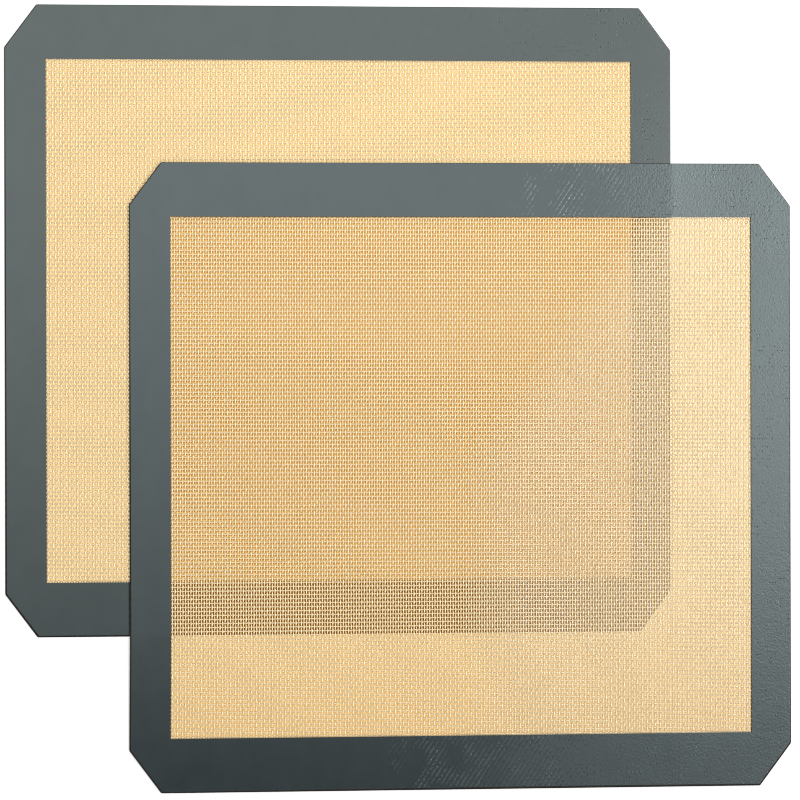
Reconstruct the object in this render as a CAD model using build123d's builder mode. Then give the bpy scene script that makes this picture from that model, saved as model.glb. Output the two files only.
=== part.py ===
"""Pair of half-sheet silicone baking mats, one lying over the other.

Each mat is a bonded laminate, from the table up: a silicone base coat, a woven glass cloth, a silicone top coat
and a grey silicone band printed round the edge. All four layers are cut in one stroke, so they share one outline.
The frame's origin is on the table, below the middle of the pair. +X runs along the mats and +Z is up.
"""
import os

from build123d import *

# One mat seen from above, a standard half-sheet pan liner, in millimetres
mat_length = 419.1
mat_width = 295.3
corner_cut = 20.0  # leg of the 45 degree cut at each corner
corner_rounding = 1.5  # softens both ends of each cut
border_width = 25.4
window_rounding = 0.8  # inner corners of the printed band

# Layers of one mat
base_coat_thickness = 0.12
cloth_thickness = 0.36
top_coat_thickness = 0.12
border_thickness = 0.10

# How the upper mat lies on the lower one
upper_shift_right = 76.6
upper_shift_down = 73.5
air_film = 0.10  # air left between the two mats

mat_thickness = base_coat_thickness + cloth_thickness + top_coat_thickness + border_thickness
window_length = mat_length - 2 * border_width
window_width = mat_width - 2 * border_width


def cut_outline(sketch):
    """The outline of every layer: a rectangle whose four corners are cut off and slightly rounded."""
    Rectangle(mat_length, mat_width)
    chamfer(sketch.vertices(), length=corner_cut)
    fillet(sketch.vertices(), radius=corner_rounding)


def full_sheet(plane, thickness):
    """A layer that covers the whole mat."""
    with BuildPart() as sheet:
        with BuildSketch(plane) as outline:
            cut_outline(outline)
        extrude(amount=thickness)
    return sheet.part


def printed_band(plane, thickness):
    """The border print: the mat's outline with the baking window left out."""
    with BuildPart() as band:
        with BuildSketch(plane) as outline:
            cut_outline(outline)
            RectangleRounded(window_length, window_width, window_rounding, mode=Mode.SUBTRACT)
        extrude(amount=thickness)
    return band.part


def write_piece(part, name):
    """Label one piece and write it to its own file."""
    part.label = name
    export_step(part, f"parts/{name}.step")


def write_mat(mat, centre_x, centre_y, underside):
    """Stack one mat's layers from its underside up."""
    layers = (
        ("base_coat", full_sheet, base_coat_thickness),
        ("glass_cloth", full_sheet, cloth_thickness),
        ("top_coat", full_sheet, top_coat_thickness),
        ("border_band", printed_band, border_thickness),
    )
    level = underside
    for layer, make, thickness in layers:
        write_piece(make(Plane((centre_x, centre_y, level)), thickness), f"{mat}_{layer}")
        level += thickness


os.makedirs("parts", exist_ok=True)
write_mat("lower", -upper_shift_right / 2, upper_shift_down / 2, 0)
write_mat("upper", upper_shift_right / 2, -upper_shift_down / 2, mat_thickness + air_film)
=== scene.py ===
"""Two silicone baking mats, one lying over the other: woven glass cloth in tan silicone, grey border band.

The photograph looks straight down but is squeezed along the mats' long side. The same picture
of true-size mats comes from far away at an elevation of 48 degrees, looking along their long side.
"""

import math

import bpy
import numpy as np
from mathutils import Matrix, Vector


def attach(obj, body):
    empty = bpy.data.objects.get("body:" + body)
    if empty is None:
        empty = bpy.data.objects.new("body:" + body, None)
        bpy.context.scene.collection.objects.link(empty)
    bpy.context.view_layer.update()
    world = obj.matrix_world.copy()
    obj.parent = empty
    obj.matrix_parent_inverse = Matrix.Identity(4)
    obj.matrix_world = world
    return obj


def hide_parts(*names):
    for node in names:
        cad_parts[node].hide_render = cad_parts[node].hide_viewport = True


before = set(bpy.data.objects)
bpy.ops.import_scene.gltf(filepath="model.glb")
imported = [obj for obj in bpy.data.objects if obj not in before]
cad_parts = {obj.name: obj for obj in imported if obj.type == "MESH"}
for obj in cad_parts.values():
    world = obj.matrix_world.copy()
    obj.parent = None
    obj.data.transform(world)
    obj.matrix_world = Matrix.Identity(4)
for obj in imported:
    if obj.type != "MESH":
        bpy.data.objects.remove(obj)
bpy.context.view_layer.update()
bpy.context.scene.view_settings.view_transform = "Standard"
# A narrow pixel filter keeps single yarns as crisp as the photograph has them
bpy.context.scene.cycles.filter_width = 1.0

# The mats' sizes, in metres, as in the CAD source
MM = 0.001
MAT_LENGTH = 419.1 * MM
MAT_WIDTH = 295.3 * MM
CORNER_CUT = 20 * MM
CORNER_ROUNDING = 1.5 * MM
BORDER = 25.4 * MM
WINDOW_LENGTH = MAT_LENGTH - 2 * BORDER
WINDOW_WIDTH = MAT_WIDTH - 2 * BORDER
SHIFT = np.array([76.6, -73.5]) * MM

# Heights in one mat, from its underside
FILM_LOW = 0.13 * MM
FILM_HIGH = 0.22 * MM
CLOTH_MIDDLE = 0.30 * MM
RIM_TOP = 0.60 * MM
BAND_TOP = 0.70 * MM
UPPER_LIFT = 0.80 * MM

# The weave: yarns that run along Y are the warp, those along X are the weft
WARP_PITCH = 1.65 * MM
WEFT_PITCH = 1.90 * MM
WARP_HALF_WIDTH = 0.44 * MM
WEFT_HALF_WIDTH = 0.34 * MM
YARN_HALF_HEIGHT = 0.11 * MM
YARN_WAVE = 0.13 * MM
UNDER_BAND = 1.2 * MM
YARN_PARTS = 3

# How uneven the yarns are, in shares of their pitch or of their width
YARN_DRIFT = 0.01
YARN_WOBBLE = 0.015
CROWN_WIDENING = 0.25
WIDTH_VARIATION = 0.04

# The print: its teeth along the window, the bare edge outside it, and how far it lies off centre, which
# bares most dark edge at the right and lower sides, as painted shade on the sides away from the light
TEETH = 0.5 * MM
TEETH_FADE = 2 * MM
POINTS_PER_TOOTH = 4
PRINT_GAP = 0.42 * MM
PRINT_OFF_CENTRE = np.array([-0.2, 0.45]) * MM

# The film ends just inside the cut edge
FILM_INSET = 0.4 * MM
FILM_RINGS = 29
FILM_POINTS = 600

# How far the upper mat hangs down past the lower one, and how soon
HANG = 0.78 * MM
HANG_REACH_X = 45 * MM
HANG_REACH_Y = 74 * MM

# The camera, with its focal length in millimetres on a sensor 36 mm wide
CAMERA_DISTANCE = 16.57
CAMERA_AZIMUTH = math.radians(179.89)
CAMERA_ELEVATION = math.radians(48.185)
CAMERA_ROLL = math.radians(-0.13)
CAMERA_TARGET = np.array([-0.61, -0.73, 0.0]) * MM
FOCAL_LENGTH = 1584
SENSOR_WIDTH = 36

# The right of the pair gets more gloss, past a line that leans to the right above PAINTED_SHEEN_FOOT:
# painted sheen that stands in for a window's reflection there
PAINTED_SHEEN_FROM = (65 * MM, 100 * MM)
PAINTED_SHEEN_LEAN = 0.95
PAINTED_SHEEN_FOOT = -30 * MM

# Where on a mat the print's streaks start and end, past lines that lean, and where its grain starts
STREAKS_START = (-15 * MM, 10 * MM)
STREAKS_START_LEAN = 0.29
STREAKS_END = (68 * MM, 105 * MM)
STREAKS_END_LEAN = 0.105
GRAIN_START = (50 * MM, 120 * MM)

# The floor lies just under the mats, and is less bright to the camera towards the front
FLOOR_SIZE = 12
FLOOR_DROP = 0.02 * MM
FLOOR_DIM_FROM = (-150 * MM, -80 * MM)
FLOOR_GLOW = (0.42, 0.80)

# The panel that the mats reflect, and the edges of its bright side and of its bright far end
PANEL_DISTANCE = 1.0
PANEL_EDGE = (100 * MM, 124 * MM)
PANEL_LEAN = 0.3
PANEL_FAR = (290 * MM, 330 * MM)


def camera():
    """Far off over the mats' left end, with the image's up along +Y."""
    flat = math.cos(CAMERA_ELEVATION)
    back = [flat * math.cos(CAMERA_AZIMUTH), flat * math.sin(CAMERA_AZIMUTH), math.sin(CAMERA_ELEVATION)]
    back = np.array(back)
    up = np.array([0, 1, 0]) - back * back[1]
    up /= np.linalg.norm(up)
    side = np.cross(up, back)
    c, s = math.cos(CAMERA_ROLL), math.sin(CAMERA_ROLL)
    axes = [c * side + s * up, c * up - s * side, back, CAMERA_TARGET + CAMERA_DISTANCE * back]
    data = bpy.data.cameras.new("camera")
    data.lens = FOCAL_LENGTH
    data.sensor_width = SENSOR_WIDTH
    data.clip_start = 1
    data.clip_end = 100
    cam = bpy.data.objects.new("camera", data)
    bpy.context.collection.objects.link(cam)
    cam.matrix_world = Matrix(np.transpose(axes).tolist() + [[0, 0, 0, 1]])
    bpy.context.scene.camera = cam


camera()


# Shader helpers
class Nodes:
    """A node tree that is written as short calls. A value is a number, a colour or another node's output."""

    def __init__(self, name, world=None):
        self.block = world or bpy.data.materials.new(name)
        self.block.use_nodes = True
        self.tree = self.block.node_tree
        self.tree.nodes.clear()

    def feed(self, socket, value):
        if isinstance(value, bpy.types.NodeSocket):
            self.tree.links.new(value, socket)
        else:
            socket.default_value = value

    def add(self, kind, inputs=(), **settings):
        node = self.tree.nodes.new(kind)
        for key, value in settings.items():
            setattr(node, key, value)
        for key, value in dict(inputs).items():
            self.feed(node.inputs[key], value)
        return node

    def shader(self, kind, inputs):
        return self.add(kind, inputs).outputs[0]

    def blend(self, share, first, second):
        """A mix of two shaders, with that share of the second."""
        return self.shader("ShaderNodeMixShader", {0: share, 1: first, 2: second})

    def math(self, operation, *values):
        node = self.add("ShaderNodeMath", operation=operation)
        for socket, value in zip(node.inputs, values):
            self.feed(socket, value)
        return node.outputs[0]

    def product(self, first, *others):
        for value in others:
            first = self.math("MULTIPLY", first, value)
        return first

    def mix(self, share, first, second):
        """A mix of two colours, with that share of the second."""
        node = self.add("ShaderNodeMix", {0: share, 6: first, 7: second}, data_type="RGBA")
        return node.outputs[2]

    def place(self):
        """The point's x, y and z in its object's own frame, which for the mats is the CAD frame."""
        where = self.add("ShaderNodeTexCoord").outputs["Object"]
        return self.add("ShaderNodeSeparateXYZ", {0: where}).outputs

    def weave(self):
        """The point's place on its mat, counted in warp yarns along X and in weft yarns along Y."""
        where = self.add("ShaderNodeUVMap", uv_map="weave").outputs[0]
        warps, wefts, _ = self.add("ShaderNodeSeparateXYZ", {0: where}).outputs
        return warps, wefts

    def noise(self, scale, detail, rough):
        where = self.add("ShaderNodeTexCoord").outputs["Object"]
        inputs = {"Vector": where, "Scale": scale, "Detail": detail, "Roughness": rough}
        return self.add("ShaderNodeTexNoise", inputs).outputs[0]

    def mottle(self, scale, detail, rough, to_low=0.0, to_high=1.0):
        """Noise that fills the range from to_low to to_high."""
        return self.span(self.noise(scale, detail, rough), 0.3, 0.7, to_low, to_high)

    def wave(self, value, period):
        """A cosine, from -1 to 1."""
        return self.math("COSINE", self.math("MULTIPLY", value, 2 * math.pi / period))

    def span(self, value, low, high, to_low=0.0, to_high=1.0):
        """A ramp between two values, level outside them."""
        inputs = {0: value, 1: low, 2: high, 3: to_low, 4: to_high}
        return self.add("ShaderNodeMapRange", inputs).outputs[0]

    def leaning(self, x, y, lean):
        """x, measured from a line that leans to the right as it goes up."""
        return self.math("MULTIPLY_ADD", y, -lean, x)

    def finish(self, shader, kind="ShaderNodeOutputMaterial"):
        self.add(kind, {0: shader})
        return self.block


# Meshes
def mesh_piece(name, local, faces, materials, body, indices=None):
    """An object made from numpy arrays of points in a mat's own frame and of quads."""
    data = bpy.data.meshes.new(name)
    points = laid(local, body)
    faces = np.asarray(faces, np.int32)
    count, corners = faces.shape
    data.vertices.add(len(points))
    data.vertices.foreach_set("co", np.asarray(points, np.float32).ravel())
    data.loops.add(count * corners)
    data.loops.foreach_set("vertex_index", faces.ravel())
    data.polygons.add(count)
    data.polygons.foreach_set("loop_start", np.arange(count, dtype=np.int32) * corners)
    data.polygons.foreach_set("use_smooth", np.ones(count, bool))
    for material in materials:
        data.materials.append(material)
    if indices is not None:
        data.polygons.foreach_set("material_index", np.asarray(indices, np.int32))
    data.update()
    data.validate()
    flat = points[faces.ravel(), :2]
    low = flat.min(axis=0)
    size = (flat.max(axis=0) - low).max()
    add_uv(data, "OFBake", (flat - low) / size)
    add_uv(data, "weave", np.asarray(local)[faces.ravel(), :2] / [WARP_PITCH, WEFT_PITCH])
    piece = bpy.data.objects.new(name, data)
    bpy.context.collection.objects.link(piece)
    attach(piece, body)
    return piece


def add_uv(data, name, values):
    layer = data.uv_layers.new(name=name)
    layer.data.foreach_set("uv", values.astype(np.float32).ravel())


def sag(xy):
    """How far the upper mat hangs down at a point in the CAD frame, past the lower mat's sides."""
    p = np.abs(xy + SHIFT / 2)
    x = np.clip((p[:, 0] - MAT_LENGTH / 2) / HANG_REACH_X, 0, 1)
    y = np.clip((p[:, 1] - MAT_WIDTH / 2) / HANG_REACH_Y, 0, 1)
    x = x * (2 - x)
    return HANG * (1 - (1 - x) * (1 - y))


def laid(points, body):
    """Moves one mat's points to where it lies. Past the lower mat the upper one hangs down."""
    points = np.array(points, float)
    if body == "lower_mat":
        points[:, :2] -= SHIFT / 2
        return points
    points[:, :2] += SHIFT / 2
    points[:, 2] += UPPER_LIFT - sag(points[:, :2])
    return points


def cut_outline(inset=0.0):
    """The cut edge of a mat as a closed line, counter-clockwise, with slightly rounded corners."""
    a, b = MAT_LENGTH / 2, MAT_WIDTH / 2
    corners = [(a, b - CORNER_CUT), (a - CORNER_CUT, b), (-a + CORNER_CUT, b), (-a, b - CORNER_CUT)]
    corners += [(-x, -y) for x, y in corners]
    corners = np.array(corners)
    line = []
    for i, corner in enumerate(corners):
        before, after = corners[i - 1], corners[(i + 1) % len(corners)]
        u = (before - corner) / np.linalg.norm(before - corner)
        v = (after - corner) / np.linalg.norm(after - corner)
        half = math.acos(np.clip(u @ v, -1, 1)) / 2
        reach = CORNER_ROUNDING / math.tan(half)
        middle = corner + (u + v) / np.linalg.norm(u + v) * CORNER_ROUNDING / math.sin(half)
        start, end = corner + u * reach, corner + v * reach
        for t in np.linspace(0, 1, 5):
            p = start * (1 - t) + end * t - middle
            line.append(middle + p / np.linalg.norm(p) * CORNER_ROUNDING)
    line = np.array(line)
    tangent = np.roll(line, -1, axis=0) - np.roll(line, 1, axis=0)
    tangent /= np.linalg.norm(tangent, axis=1)[:, None]
    return line + np.stack([-tangent[:, 1], tangent[:, 0]], axis=1) * inset


def along(line, shares):
    """Points at these shares of a closed line's length."""
    closed = np.vstack([line, line[:1]])
    steps = np.linalg.norm(np.diff(closed, axis=0), axis=1)
    total = np.concatenate([[0], np.cumsum(steps)])
    at = (shares % 1.0) * total[-1]
    return np.stack([np.interp(at, total, closed[:, i]) for i in range(2)], axis=1)


def lower_right_share(line):
    """Where on the cut edge the middle of the lower right cut corner is."""
    middle = np.array([MAT_LENGTH / 2 - CORNER_CUT / 2, -MAT_WIDTH / 2 + CORNER_CUT / 2])
    shares = np.linspace(0, 1, 20001)
    return shares[np.argmin(np.linalg.norm(along(line, shares) - middle, axis=1))]


def ring_edges(teeth):
    """Matching points on the window's edge and on the cut edge, from the lower right corner round."""
    a, b = WINDOW_LENGTH / 2, WINDOW_WIDTH / 2
    corners = np.array([(a, -b), (a, b), (-a, b), (-a, -b)])
    sides = [MAT_WIDTH, MAT_LENGTH, MAT_WIDTH, MAT_LENGTH]
    lengths = [side - 2 * CORNER_CUT + CORNER_CUT * math.sqrt(2) for side in sides]
    rng = np.random.default_rng(7)
    inner, shares = [], []
    begun = 0.0
    for i, start in enumerate(corners):
        end = corners[(i + 1) % 4]
        length = np.linalg.norm(end - start)
        pitch = WEFT_PITCH if i % 2 == 0 else WARP_PITCH
        count = int(round(length / pitch)) * POINTS_PER_TOOTH
        t = np.arange(count) / count
        direction = (end - start) / length
        inward = np.array([-direction[1], direction[0]])
        wave = np.abs(t * length / pitch % 1.0 - 0.5) * 2
        size = 0.6 + 0.5 * rng.random(count // POINTS_PER_TOOTH + 1)
        bite = teeth * (wave - 0.5) * size[(t * count / POINTS_PER_TOOTH).astype(int)]
        bite *= np.clip(np.minimum(t, 1 - t) * length / TEETH_FADE, 0, 1)
        inner.append(start + np.outer(t * length, direction) + np.outer(bite, inward))
        shares.append((begun + t * lengths[i]) / sum(lengths))
        begun += lengths[i]
    line = cut_outline()
    outer = along(line, np.concatenate(shares) + lower_right_share(line))
    return np.concatenate(inner), outer


def outward(inner, outer):
    """Directions of length 1 from the window's edge to the cut edge."""
    away = outer - inner
    return away / np.linalg.norm(away, axis=1)[:, None]


def ring_piece(name, body, profile, inner, outer, materials, second=()):
    """A closed ring round the window. profile lists (share from inner to outer edge, height, push outward).

    The strips that start at the profile rows in second get the second material.
    """
    rows, n = len(profile), len(inner)
    away = outward(inner, outer)
    grid = np.zeros((rows, n, 3))
    for i, (share, height, push) in enumerate(profile):
        grid[i, :, :2] = inner * (1 - share) + outer * share + away * push
        grid[i, :, 2] = height
    k, j = np.meshgrid(np.arange(rows), np.arange(n), indexing="ij")
    row, next_row = k * n, (k + 1) % rows * n
    next_j = (j + 1) % n
    faces = np.stack([row + j, row + next_j, next_row + next_j, next_row + j], axis=-1)
    indices = np.isin(k, list(second)).astype(np.int32).ravel()
    return mesh_piece(name, grid.reshape(-1, 3), faces.reshape(-1, 4), materials, body, indices=indices)


# Materials
def painted_sheen(m, low, high):
    """From low to high where the mats get more gloss: painted sheen, for a window's reflection."""
    x, y, _ = m.place()
    edge = m.leaning(x, m.math("MAXIMUM", y, PAINTED_SHEEN_FOOT), PAINTED_SHEEN_LEAN)
    return m.span(edge, *PAINTED_SHEEN_FROM, low, high)


def crowns(m, side, painted_highlight_shift=0.0):
    """side where a warp yarn passes over a weft yarn, -side where it passes under, 0 in between."""
    warps, wefts = m.weave()
    # A shift moves this pattern off the real crossings along the weft count, for a painted highlight
    return m.product(m.wave(warps, 2), m.wave(m.math("ADD", wefts, painted_highlight_shift), 2), side)


def yarn_material(name, crown, flank, side, painted_highlight_shift, blend, shine):
    """Glass yarn in tan silicone, paler at its crowns, where the coat is thin, and deeper in the dips.

    side is 1 for the warp and -1 for the weft. A shift moves the pale crown colour towards -Y, off the real
    crowns, as a painted highlight on the slopes that face the key lamp. blend is from which height to which
    the flank's colour becomes the crown's, and shine is the gloss at the left and at the right, with more
    gloss to the right as painted sheen.
    """
    m = Nodes(name)
    height = crowns(m, side, painted_highlight_shift)
    height = m.math("ADD", height, m.mottle(300, 3.0, 0.6, -0.12, 0.12))
    height = m.math("ADD", height, m.mottle(14, 2.0, 0.5, -0.03, 0.03))
    solid = m.shader("ShaderNodeBsdfPrincipled", {
        "Base Color": m.mix(m.span(height, *blend), flank, crown),
        "Roughness": 0.36,
        "IOR": 1.55,
        # Painted sheen: more gloss to the right
        "Specular IOR Level": painted_sheen(m, *shine),
    })
    lets_through = m.shader("ShaderNodeBsdfTransparent", {0: (0.97, 0.86, 0.60, 1)})
    lamp_light = m.add("ShaderNodeLightPath").outputs["Is Shadow Ray"]
    return m.finish(m.blend(lamp_light, solid, lets_through))


def film_material():
    """Thin tan silicone that lets what lies under it show through, and dims reflections through it as
    painted shade.
    """
    m = Nodes("tan_film")
    clear = m.shader("ShaderNodeBsdfTransparent", {0: (0.995, 0.924, 0.70, 1)})
    tan = m.shader("ShaderNodeBsdfPrincipled", {
        "Base Color": (0.95, 0.37, 0.04, 1),
        "Roughness": 0.35,
        "IOR": 1.41,
    })
    gloss = m.shader("ShaderNodeBsdfGlossy", {"Color": (0.95, 0.95, 1.0, 1), "Roughness": 0.2})
    # The gloss share rises to the right as painted sheen
    top = m.blend(painted_sheen(m, 0.008, 0.090), m.blend(0.08, clear, tan), gloss)
    # Painted shade: reflected rays see the film as a dark filter, which dims what reflects through it
    dark_to_reflections = m.shader("ShaderNodeBsdfTransparent", {0: (0.25, 0.20, 0.12, 1)})
    reflected = m.add("ShaderNodeLightPath").outputs["Is Glossy Ray"]
    return m.finish(m.blend(reflected, top, dark_to_reflections))


def streaks(m, warps, wefts):
    """The cloth's slanting ridges under the print, in broken patches between two slanted edges."""
    x = m.math("MULTIPLY", warps, WARP_PITCH)
    y = m.math("MULTIPLY", wefts, WEFT_PITCH)
    ridge = m.math("MULTIPLY_ADD", m.wave(m.math("SUBTRACT", warps, wefts), 2), 0.5, 0.5)
    sharp = m.math("POWER", ridge, 3.0)
    dashes = m.math("MULTIPLY_ADD", m.wave(m.math("ADD", warps, wefts), 2), 0.15, 0.85)
    broken = m.span(m.noise(650, 1.0, 0.5), 0.34, 0.58, 0.05, 0.9)
    patch = m.span(m.noise(70, 2.0, 0.6), 0.42, 0.62, 0.12, 1.0)
    start = m.span(m.leaning(x, y, STREAKS_START_LEAN), *STREAKS_START, 0.12, 1.0)
    end = m.span(m.leaning(x, y, STREAKS_END_LEAN), *STREAKS_END, 1.0, 0.2)
    return m.product(sharp, dashes, broken, patch, start, end)


def pits(m, warps, wefts, where):
    """1 in small pits at some of the cloth's crossings, in clusters, and 0 elsewhere."""
    spot = m.span(m.math("ADD", m.wave(warps, 1), m.wave(wefts, 1)), 1.15, 1.45)
    chance = m.span(m.noise(330, 0.0, 0.5), 0.62, 0.66)
    cluster = m.span(m.noise(30, 1.0, 0.5), 0.40, 0.55)
    return m.product(spot, chance, cluster, where)


def band_material(name, raised, tint):
    """Printed grey silicone: satin, with streaks, and with grain and small pits on the right."""
    m = Nodes(name)
    warps, wefts = m.weave()
    right = m.span(m.math("MULTIPLY", warps, WARP_PITCH), *GRAIN_START)
    pits_with_painted_shade = pits(m, warps, wefts, right)
    grain = m.product(m.noise(900, 2.0, 0.55), right)
    height = m.math("MULTIPLY", m.noise(1100, 2.0, 0.6), 0.004 * MM)
    height = m.math("MULTIPLY_ADD", streaks(m, warps, wefts), raised, height)
    height = m.math("MULTIPLY_ADD", grain, 1.1 * raised, height)
    height = m.math("MULTIPLY_ADD", pits_with_painted_shade, -0.02 * MM, height)
    bump = m.add("ShaderNodeBump", {"Strength": 1.0, "Distance": 1.0, "Height": height})
    grey = m.mix(m.mottle(60, 3.0, 0.6), (0.025, 0.032, 0.035, 1), (0.029, 0.038, 0.041, 1))
    return m.finish(m.shader("ShaderNodeBsdfPrincipled", {
        # Painted shade: the pits' colour goes near black
        "Base Color": m.mix(m.math("MULTIPLY", pits_with_painted_shade, 0.8), grey, (0.008, 0.009, 0.010, 1)),
        "Roughness": 0.11,
        "IOR": 1.5,
        "Specular IOR Level": m.math("MULTIPLY_ADD", pits_with_painted_shade, -0.4, 0.515),
        "Specular Tint": tint,
        "Normal": bump.outputs[0],
    }))


def cut_edge_and_shade_material():
    """The cut edge of the coated cloth: dark brown, made near black as painted shade on the outline."""
    m = Nodes("cut_edge_and_shade")
    return m.finish(m.shader("ShaderNodeBsdfPrincipled", {
        "Base Color": m.mix(m.mottle(700, 2.0, 0.6), (0.006, 0.005, 0.004, 1), (0.016, 0.013, 0.010, 1)),
        "Roughness": 0.8,
        "IOR": 1.3,
    }))


def rim_material():
    """The coated cloth under the print, brown grey where the print shows through."""
    m = Nodes("rim_silicone")
    weave = crowns(m, 1.0)
    height = m.math("MULTIPLY", weave, 0.02 * MM)
    bump = m.add("ShaderNodeBump", {"Strength": 0.8, "Distance": 1.0, "Height": height})
    return m.finish(m.shader("ShaderNodeBsdfPrincipled", {
        "Base Color": m.mix(m.span(weave, -1.0, 1.0), (0.10, 0.085, 0.062, 1), (0.15, 0.125, 0.09, 1)),
        "Roughness": 0.45,
        "IOR": 1.41,
        "Normal": bump.outputs[0],
    }))


# The warp's shift of 0.22 puts its pale crown colour towards -Y of the real crowns: a painted highlight
WARP = yarn_material(
    "warp_yarn",
    crown=(0.83, 0.72, 0.455, 1),
    flank=(0.83, 0.53, 0.19, 1),
    side=1.0,
    painted_highlight_shift=0.22,
    blend=(-0.3, 0.5),
    shine=(0.35, 0.6),
)
WEFT = yarn_material(
    "weft_yarn",
    crown=(0.72, 0.56, 0.37, 1),
    flank=(0.70, 0.475, 0.19, 1),
    side=-1.0,
    painted_highlight_shift=0.0,
    blend=(-0.25, 0.8),
    shine=(0.2, 0.6),
)
FILM = film_material()
BAND = {
    "lower_mat": band_material("lower_print", 0.020 * MM, (0.84, 0.96, 0.90, 1)),
    "upper_mat": band_material("upper_print", 0.076 * MM, (0.83, 1.0, 1.0, 1)),
}
RIM = rim_material()
CUT_EDGE_AND_SHADE = cut_edge_and_shade_material()


# The yarns
SECTION = [(-1, 0), (0, 1), (1, 0), (0, -1)]


def tube_faces(tubes, rings):
    """The quads of closed tubes whose rings follow each other in the list of points."""
    size = len(SECTION)
    a, b, c = np.meshgrid(np.arange(tubes), np.arange(rings - 1), np.arange(size), indexing="ij")
    first = (a * rings + b) * size
    p, q = first + c, first + (c + 1) % size
    sides = np.stack([p, q, q + size, p + size], axis=-1).reshape(-1, 4)
    begin = np.arange(tubes) * rings * size
    end = begin + (rings - 1) * size
    near = np.stack([begin, begin + 3, begin + 2, begin + 1], axis=-1)
    far = np.stack([end, end + 1, end + 2, end + 3], axis=-1)
    return np.concatenate([sides, near, far])


def yarn_set(name, body, along_y, seed):
    """One mat's warp or weft, as closed tubes with a flat smooth section that pass over and under."""
    half_long = WINDOW_LENGTH / 2 + UNDER_BAND
    half_short = WINDOW_WIDTH / 2 + UNDER_BAND
    if along_y:
        pitch, cross, half_width = WARP_PITCH, WEFT_PITCH, WARP_HALF_WIDTH
        side, reach = half_long, half_short
    else:
        pitch, cross, half_width = WEFT_PITCH, WARP_PITCH, WEFT_HALF_WIDTH
        side, reach = half_short, half_long
    count, crossings = int(side / pitch), int(reach / cross)
    numbers = np.arange(-count, count + 1)
    # Two stations from one crossing to the next
    stations = np.arange(-2 * crossings, 2 * crossings + 1)
    rng = np.random.default_rng(seed)
    drift = np.cumsum(rng.normal(0, YARN_DRIFT, len(numbers)))
    drift -= np.linspace(drift[0], drift[-1], len(numbers))
    pieces = []
    for part, group in enumerate(np.array_split(np.arange(len(numbers)), YARN_PARTS)):
        n = numbers[group]
        over = np.cos(math.pi * (stations[None, :] / 2 + n[:, None]))
        over = over if along_y else -over
        wobble = rng.normal(0, YARN_WOBBLE, over.shape) * pitch
        across = (n + drift[group])[:, None] * pitch + wobble
        ahead = np.broadcast_to(stations[None, :] * cross / 2, over.shape)
        wide = half_width * (1 + CROWN_WIDENING * over + rng.normal(0, WIDTH_VARIATION, over.shape))
        points = np.zeros((*over.shape, len(SECTION), 3))
        for i, (u, v) in enumerate(SECTION):
            sideways = across + u * wide
            points[:, :, i, 0] = sideways if along_y else ahead
            points[:, :, i, 1] = ahead if along_y else sideways
            points[:, :, i, 2] = CLOTH_MIDDLE + YARN_WAVE * over + v * YARN_HALF_HEIGHT
        faces = tube_faces(*over.shape)
        faces = faces if along_y else faces[:, ::-1]
        material = WARP if along_y else WEFT
        piece = mesh_piece(f"{name}_{part + 1}", points.reshape(-1, 3), faces, [material], body)
        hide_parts(body.replace("_mat", "_glass_cloth"))
        pieces.append(piece)
    return pieces


def film_piece(name, body):
    """The tan silicone between the yarns, a thin closed slab out to just inside the cut edge."""
    outer = along(cut_outline(FILM_INSET), np.linspace(0, 1, FILM_POINTS, endpoint=False))
    n, rings = FILM_POINTS, FILM_RINGS
    points = []
    for level in (FILM_HIGH, FILM_LOW):
        for share in np.linspace(0, 1, rings + 1)[1:]:
            points.append(np.column_stack([outer * share, np.full(n, level)]))
    points.append([[0, 0, FILM_HIGH], [0, 0, FILM_LOW]])
    low_start = rings * n
    top_centre, low_centre = 2 * low_start, 2 * low_start + 1
    k, j = np.meshgrid(np.arange(rings - 1), np.arange(n), indexing="ij")
    a, b = k * n + j, k * n + (j + 1) % n
    c, d = b + n, a + n
    low_side = np.stack([a, b, c, d], axis=-1).reshape(-1, 4) + low_start
    top_side = np.stack([a, d, c, b], axis=-1).reshape(-1, 4)
    top, low = low_start - n + np.arange(n), 2 * low_start - n + np.arange(n)
    edge = np.stack([top, low, np.roll(low, -1), np.roll(top, -1)], axis=-1)
    even = np.arange(0, n, 2)
    after = (even + 2) % n
    top_fan = np.stack([np.full(len(even), top_centre), even, even + 1, after], axis=-1)
    low_fan = [after + low_start, even + 1 + low_start, even + low_start]
    low_fan = np.stack([np.full(len(even), low_centre), *low_fan], axis=-1)
    faces = np.concatenate([top_side, low_side, edge, top_fan, low_fan])
    piece = mesh_piece(name, np.concatenate(points), faces, [FILM], body)
    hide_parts(body.replace("_mat", "_base_coat"), body.replace("_mat", "_top_coat"))
    return piece


# The print and the coated rim under it
FLAT_SHARES = [0.15, 0.3, 0.45, 0.6, 0.75, 0.9]


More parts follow.
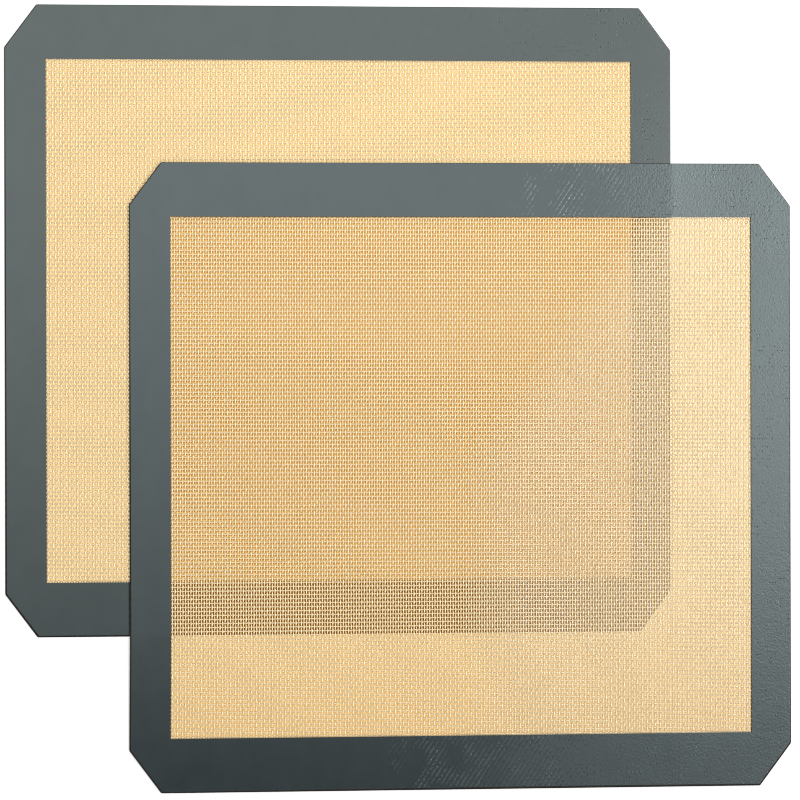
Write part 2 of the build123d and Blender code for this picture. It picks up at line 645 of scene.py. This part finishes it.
def band_piece(short, body):
    """The printed band, with a soft edge all round and teeth along the window."""
    profile = [
        (0, RIM_TOP - 0.2 * MM, 0),
        (0, BAND_TOP - 0.05 * MM, 0),
        (0, BAND_TOP - 0.015 * MM, 0.02 * MM),
        (0, BAND_TOP, 0.06 * MM),
        (0, BAND_TOP, 0.12 * MM),
        *[(share, BAND_TOP, 0) for share in FLAT_SHARES],
        (1, BAND_TOP, -0.30 * MM),
        (1, BAND_TOP, -0.22 * MM),
        (1, BAND_TOP - 0.02 * MM, -0.12 * MM),
        (1, BAND_TOP - 0.09 * MM, -0.04 * MM),
        (1, RIM_TOP - 0.02 * MM, 0),
        (1, RIM_TOP - 0.10 * MM, -0.02 * MM),
        (0.5, RIM_TOP - 0.2 * MM, 0),
    ]
    inner, outer = ring_edges(TEETH)
    away = outward(inner, outer)
    # Off centre, the gap is widest at the right and lower sides, where the dark edge is painted shade
    gap = np.maximum(PRINT_GAP - away @ PRINT_OFF_CENTRE, 0)
    printed = outer - away * gap[:, None]
    band = ring_piece(f"{short}_printed_band", body, profile, inner, printed, [BAND[body]])
    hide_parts(f"{short}_border_band")
    return band


def rim_piece(short, body):
    """The coated cloth round the window, down to the underside, with its dark cut edge, partly painted
    shade.
    """
    profile = [
        (0.01, 0, 0),
        (0.01, RIM_TOP - 0.1 * MM, 0),
        (0.3, RIM_TOP - 0.1 * MM, 0),
        (0.6, RIM_TOP - 0.1 * MM, 0),
        (1, RIM_TOP - 0.06 * MM, -0.6 * MM),
        (1, RIM_TOP - 0.06 * MM, -0.1 * MM),
        (1, RIM_TOP - 0.10 * MM, 0),
        (1, RIM_TOP - 0.2 * MM, 0),
        (1, 0.08 * MM, 0),
        (1, 0.02 * MM, -0.02 * MM),
        (1, 0, -0.06 * MM),
        (1, 0, -0.14 * MM),
        *[(share, 0, 0) for share in reversed(FLAT_SHARES)],
        (0.02, 0, 0),
    ]
    inner, outer = ring_edges(teeth=0.0)
    # Rows 3 to 5 are the dark edge outside the print: the cut edge's colour, made near black as painted
    # shade
    rim = ring_piece(f"{short}_coated_rim", body, profile, inner, outer, [RIM, CUT_EDGE_AND_SHADE], second=range(3, 6))
    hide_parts(f"{short}_base_coat", f"{short}_top_coat")
    return rim


def mat(body):
    """All of one mat."""
    short = body.replace("_mat", "")
    band = band_piece(short, body)
    rim = rim_piece(short, body)
    film = film_piece(f"{short}_silicone_film", body)
    warp = yarn_set(f"{short}_warp_yarns", body, along_y=True, seed=11)
    weft = yarn_set(f"{short}_weft_yarns", body, along_y=False, seed=12)


mat("lower_mat")
mat("upper_mat")


# Floor, world and lamps
def floor():
    """A white floor that keeps the mats' shadow; painted shade dims its glow to the camera at the front."""
    m = Nodes("floor")
    matte = m.shader("ShaderNodeBsdfDiffuse", {"Color": (0.95, 0.95, 0.95, 1)})
    glow = m.shader("ShaderNodeEmission", {"Color": (1, 1, 1, 1), "Strength": 1.0})
    seen = m.add("ShaderNodeLightPath").outputs["Is Camera Ray"]
    _, y, _ = m.place()
    # Painted shade: less glow towards the front darkens the floor seen through the mats there
    share = m.product(seen, m.span(y, *FLOOR_DIM_FROM, *FLOOR_GLOW))
    bpy.ops.mesh.primitive_plane_add(size=FLOOR_SIZE, location=(0, 0, -FLOOR_DROP))
    plane = bpy.context.object
    plane.name = "floor"
    plane.data.materials.append(m.finish(m.blend(share, matte, glow)))


def sky():
    """Even white light all round, less of it for reflections, and plain white to the camera."""
    world = bpy.data.worlds.new("world")
    bpy.context.scene.world = world
    m = Nodes("", world)
    path = m.add("ShaderNodeLightPath").outputs
    levels = {"even": 0.30, "mirrored": 0.10, "white": 1.0}
    white = {"Color": (1, 1, 1, 1)}
    light = {key: m.shader("ShaderNodeBackground", white | {"Strength": levels[key]}) for key in levels}
    lit = m.blend(path["Is Glossy Ray"], light["even"], light["mirrored"])
    m.finish(m.blend(path["Is Camera Ray"], lit, light["white"]), "ShaderNodeOutputWorld")


def aimed(name, data, place, strength):
    """Puts a lamp where it belongs, aimed at the middle of the mats. Reflections don't show it."""
    data.energy = strength
    light = bpy.data.objects.new(name, data)
    bpy.context.collection.objects.link(light)
    light.location = place
    light.rotation_euler = (-Vector(place)).to_track_quat("-Z", "Y").to_euler()
    light.visible_glossy = False


def far_lamp(name, place, spread, strength):
    """Soft light from that direction, the same all over."""
    data = bpy.data.lights.new(name, "SUN")
    data.angle = math.radians(spread)
    aimed(name, data, place, strength)


def near_lamp(name, place, size, strength):
    """A square soft box close to the mats, so that its light falls off along them."""
    data = bpy.data.lights.new(name, "AREA")
    data.size = size
    aimed(name, data, place, strength)


def reflector():
    """A soft panel that the mats reflect towards the camera, brighter on one side of a slanted edge."""
    m = Nodes("panel")
    x, y, _ = m.place()
    upward = m.math("POWER", m.span(y, -0.20, 0.09), 0.8)
    side = m.product(m.span(m.leaning(x, y, PANEL_LEAN), *PANEL_EDGE), m.span(y, -0.18, -0.05, 0.4, 1.0))
    strength = m.math("MULTIPLY_ADD", upward, 2.4, m.math("MULTIPLY", side, 2.45))
    strength = m.math("MULTIPLY_ADD", m.span(x, *PANEL_FAR), 8.0, strength)
    glow = m.shader("ShaderNodeEmission", {"Color": (1, 1, 1, 1), "Strength": strength})
    bpy.ops.mesh.primitive_plane_add(size=1)
    panel = bpy.context.object
    panel.name = "reflection_panel"
    c, s = math.cos(CAMERA_ELEVATION), math.sin(CAMERA_ELEVATION)
    panel.matrix_world = Matrix([
        [s, 0, c, c * PANEL_DISTANCE],
        [0, 1, 0, 0],
        [-c, 0, s, s * PANEL_DISTANCE],
        [0, 0, 0, 1],
    ])
    panel.data.materials.append(m.finish(glow))
    panel.visible_camera = False
    panel.visible_diffuse = False
    panel.visible_shadow = False
    panel.visible_transmission = False


floor()
sky()
far_lamp("key", (-0.2, -2.0, 2.1), 60, 1.33)
far_lamp("fill", (0.0, 0.3, 3.0), 150, 1.62)
near_lamp("upper", (0.0, 0.46, 0.38), 0.4, 1.65)
reflector()
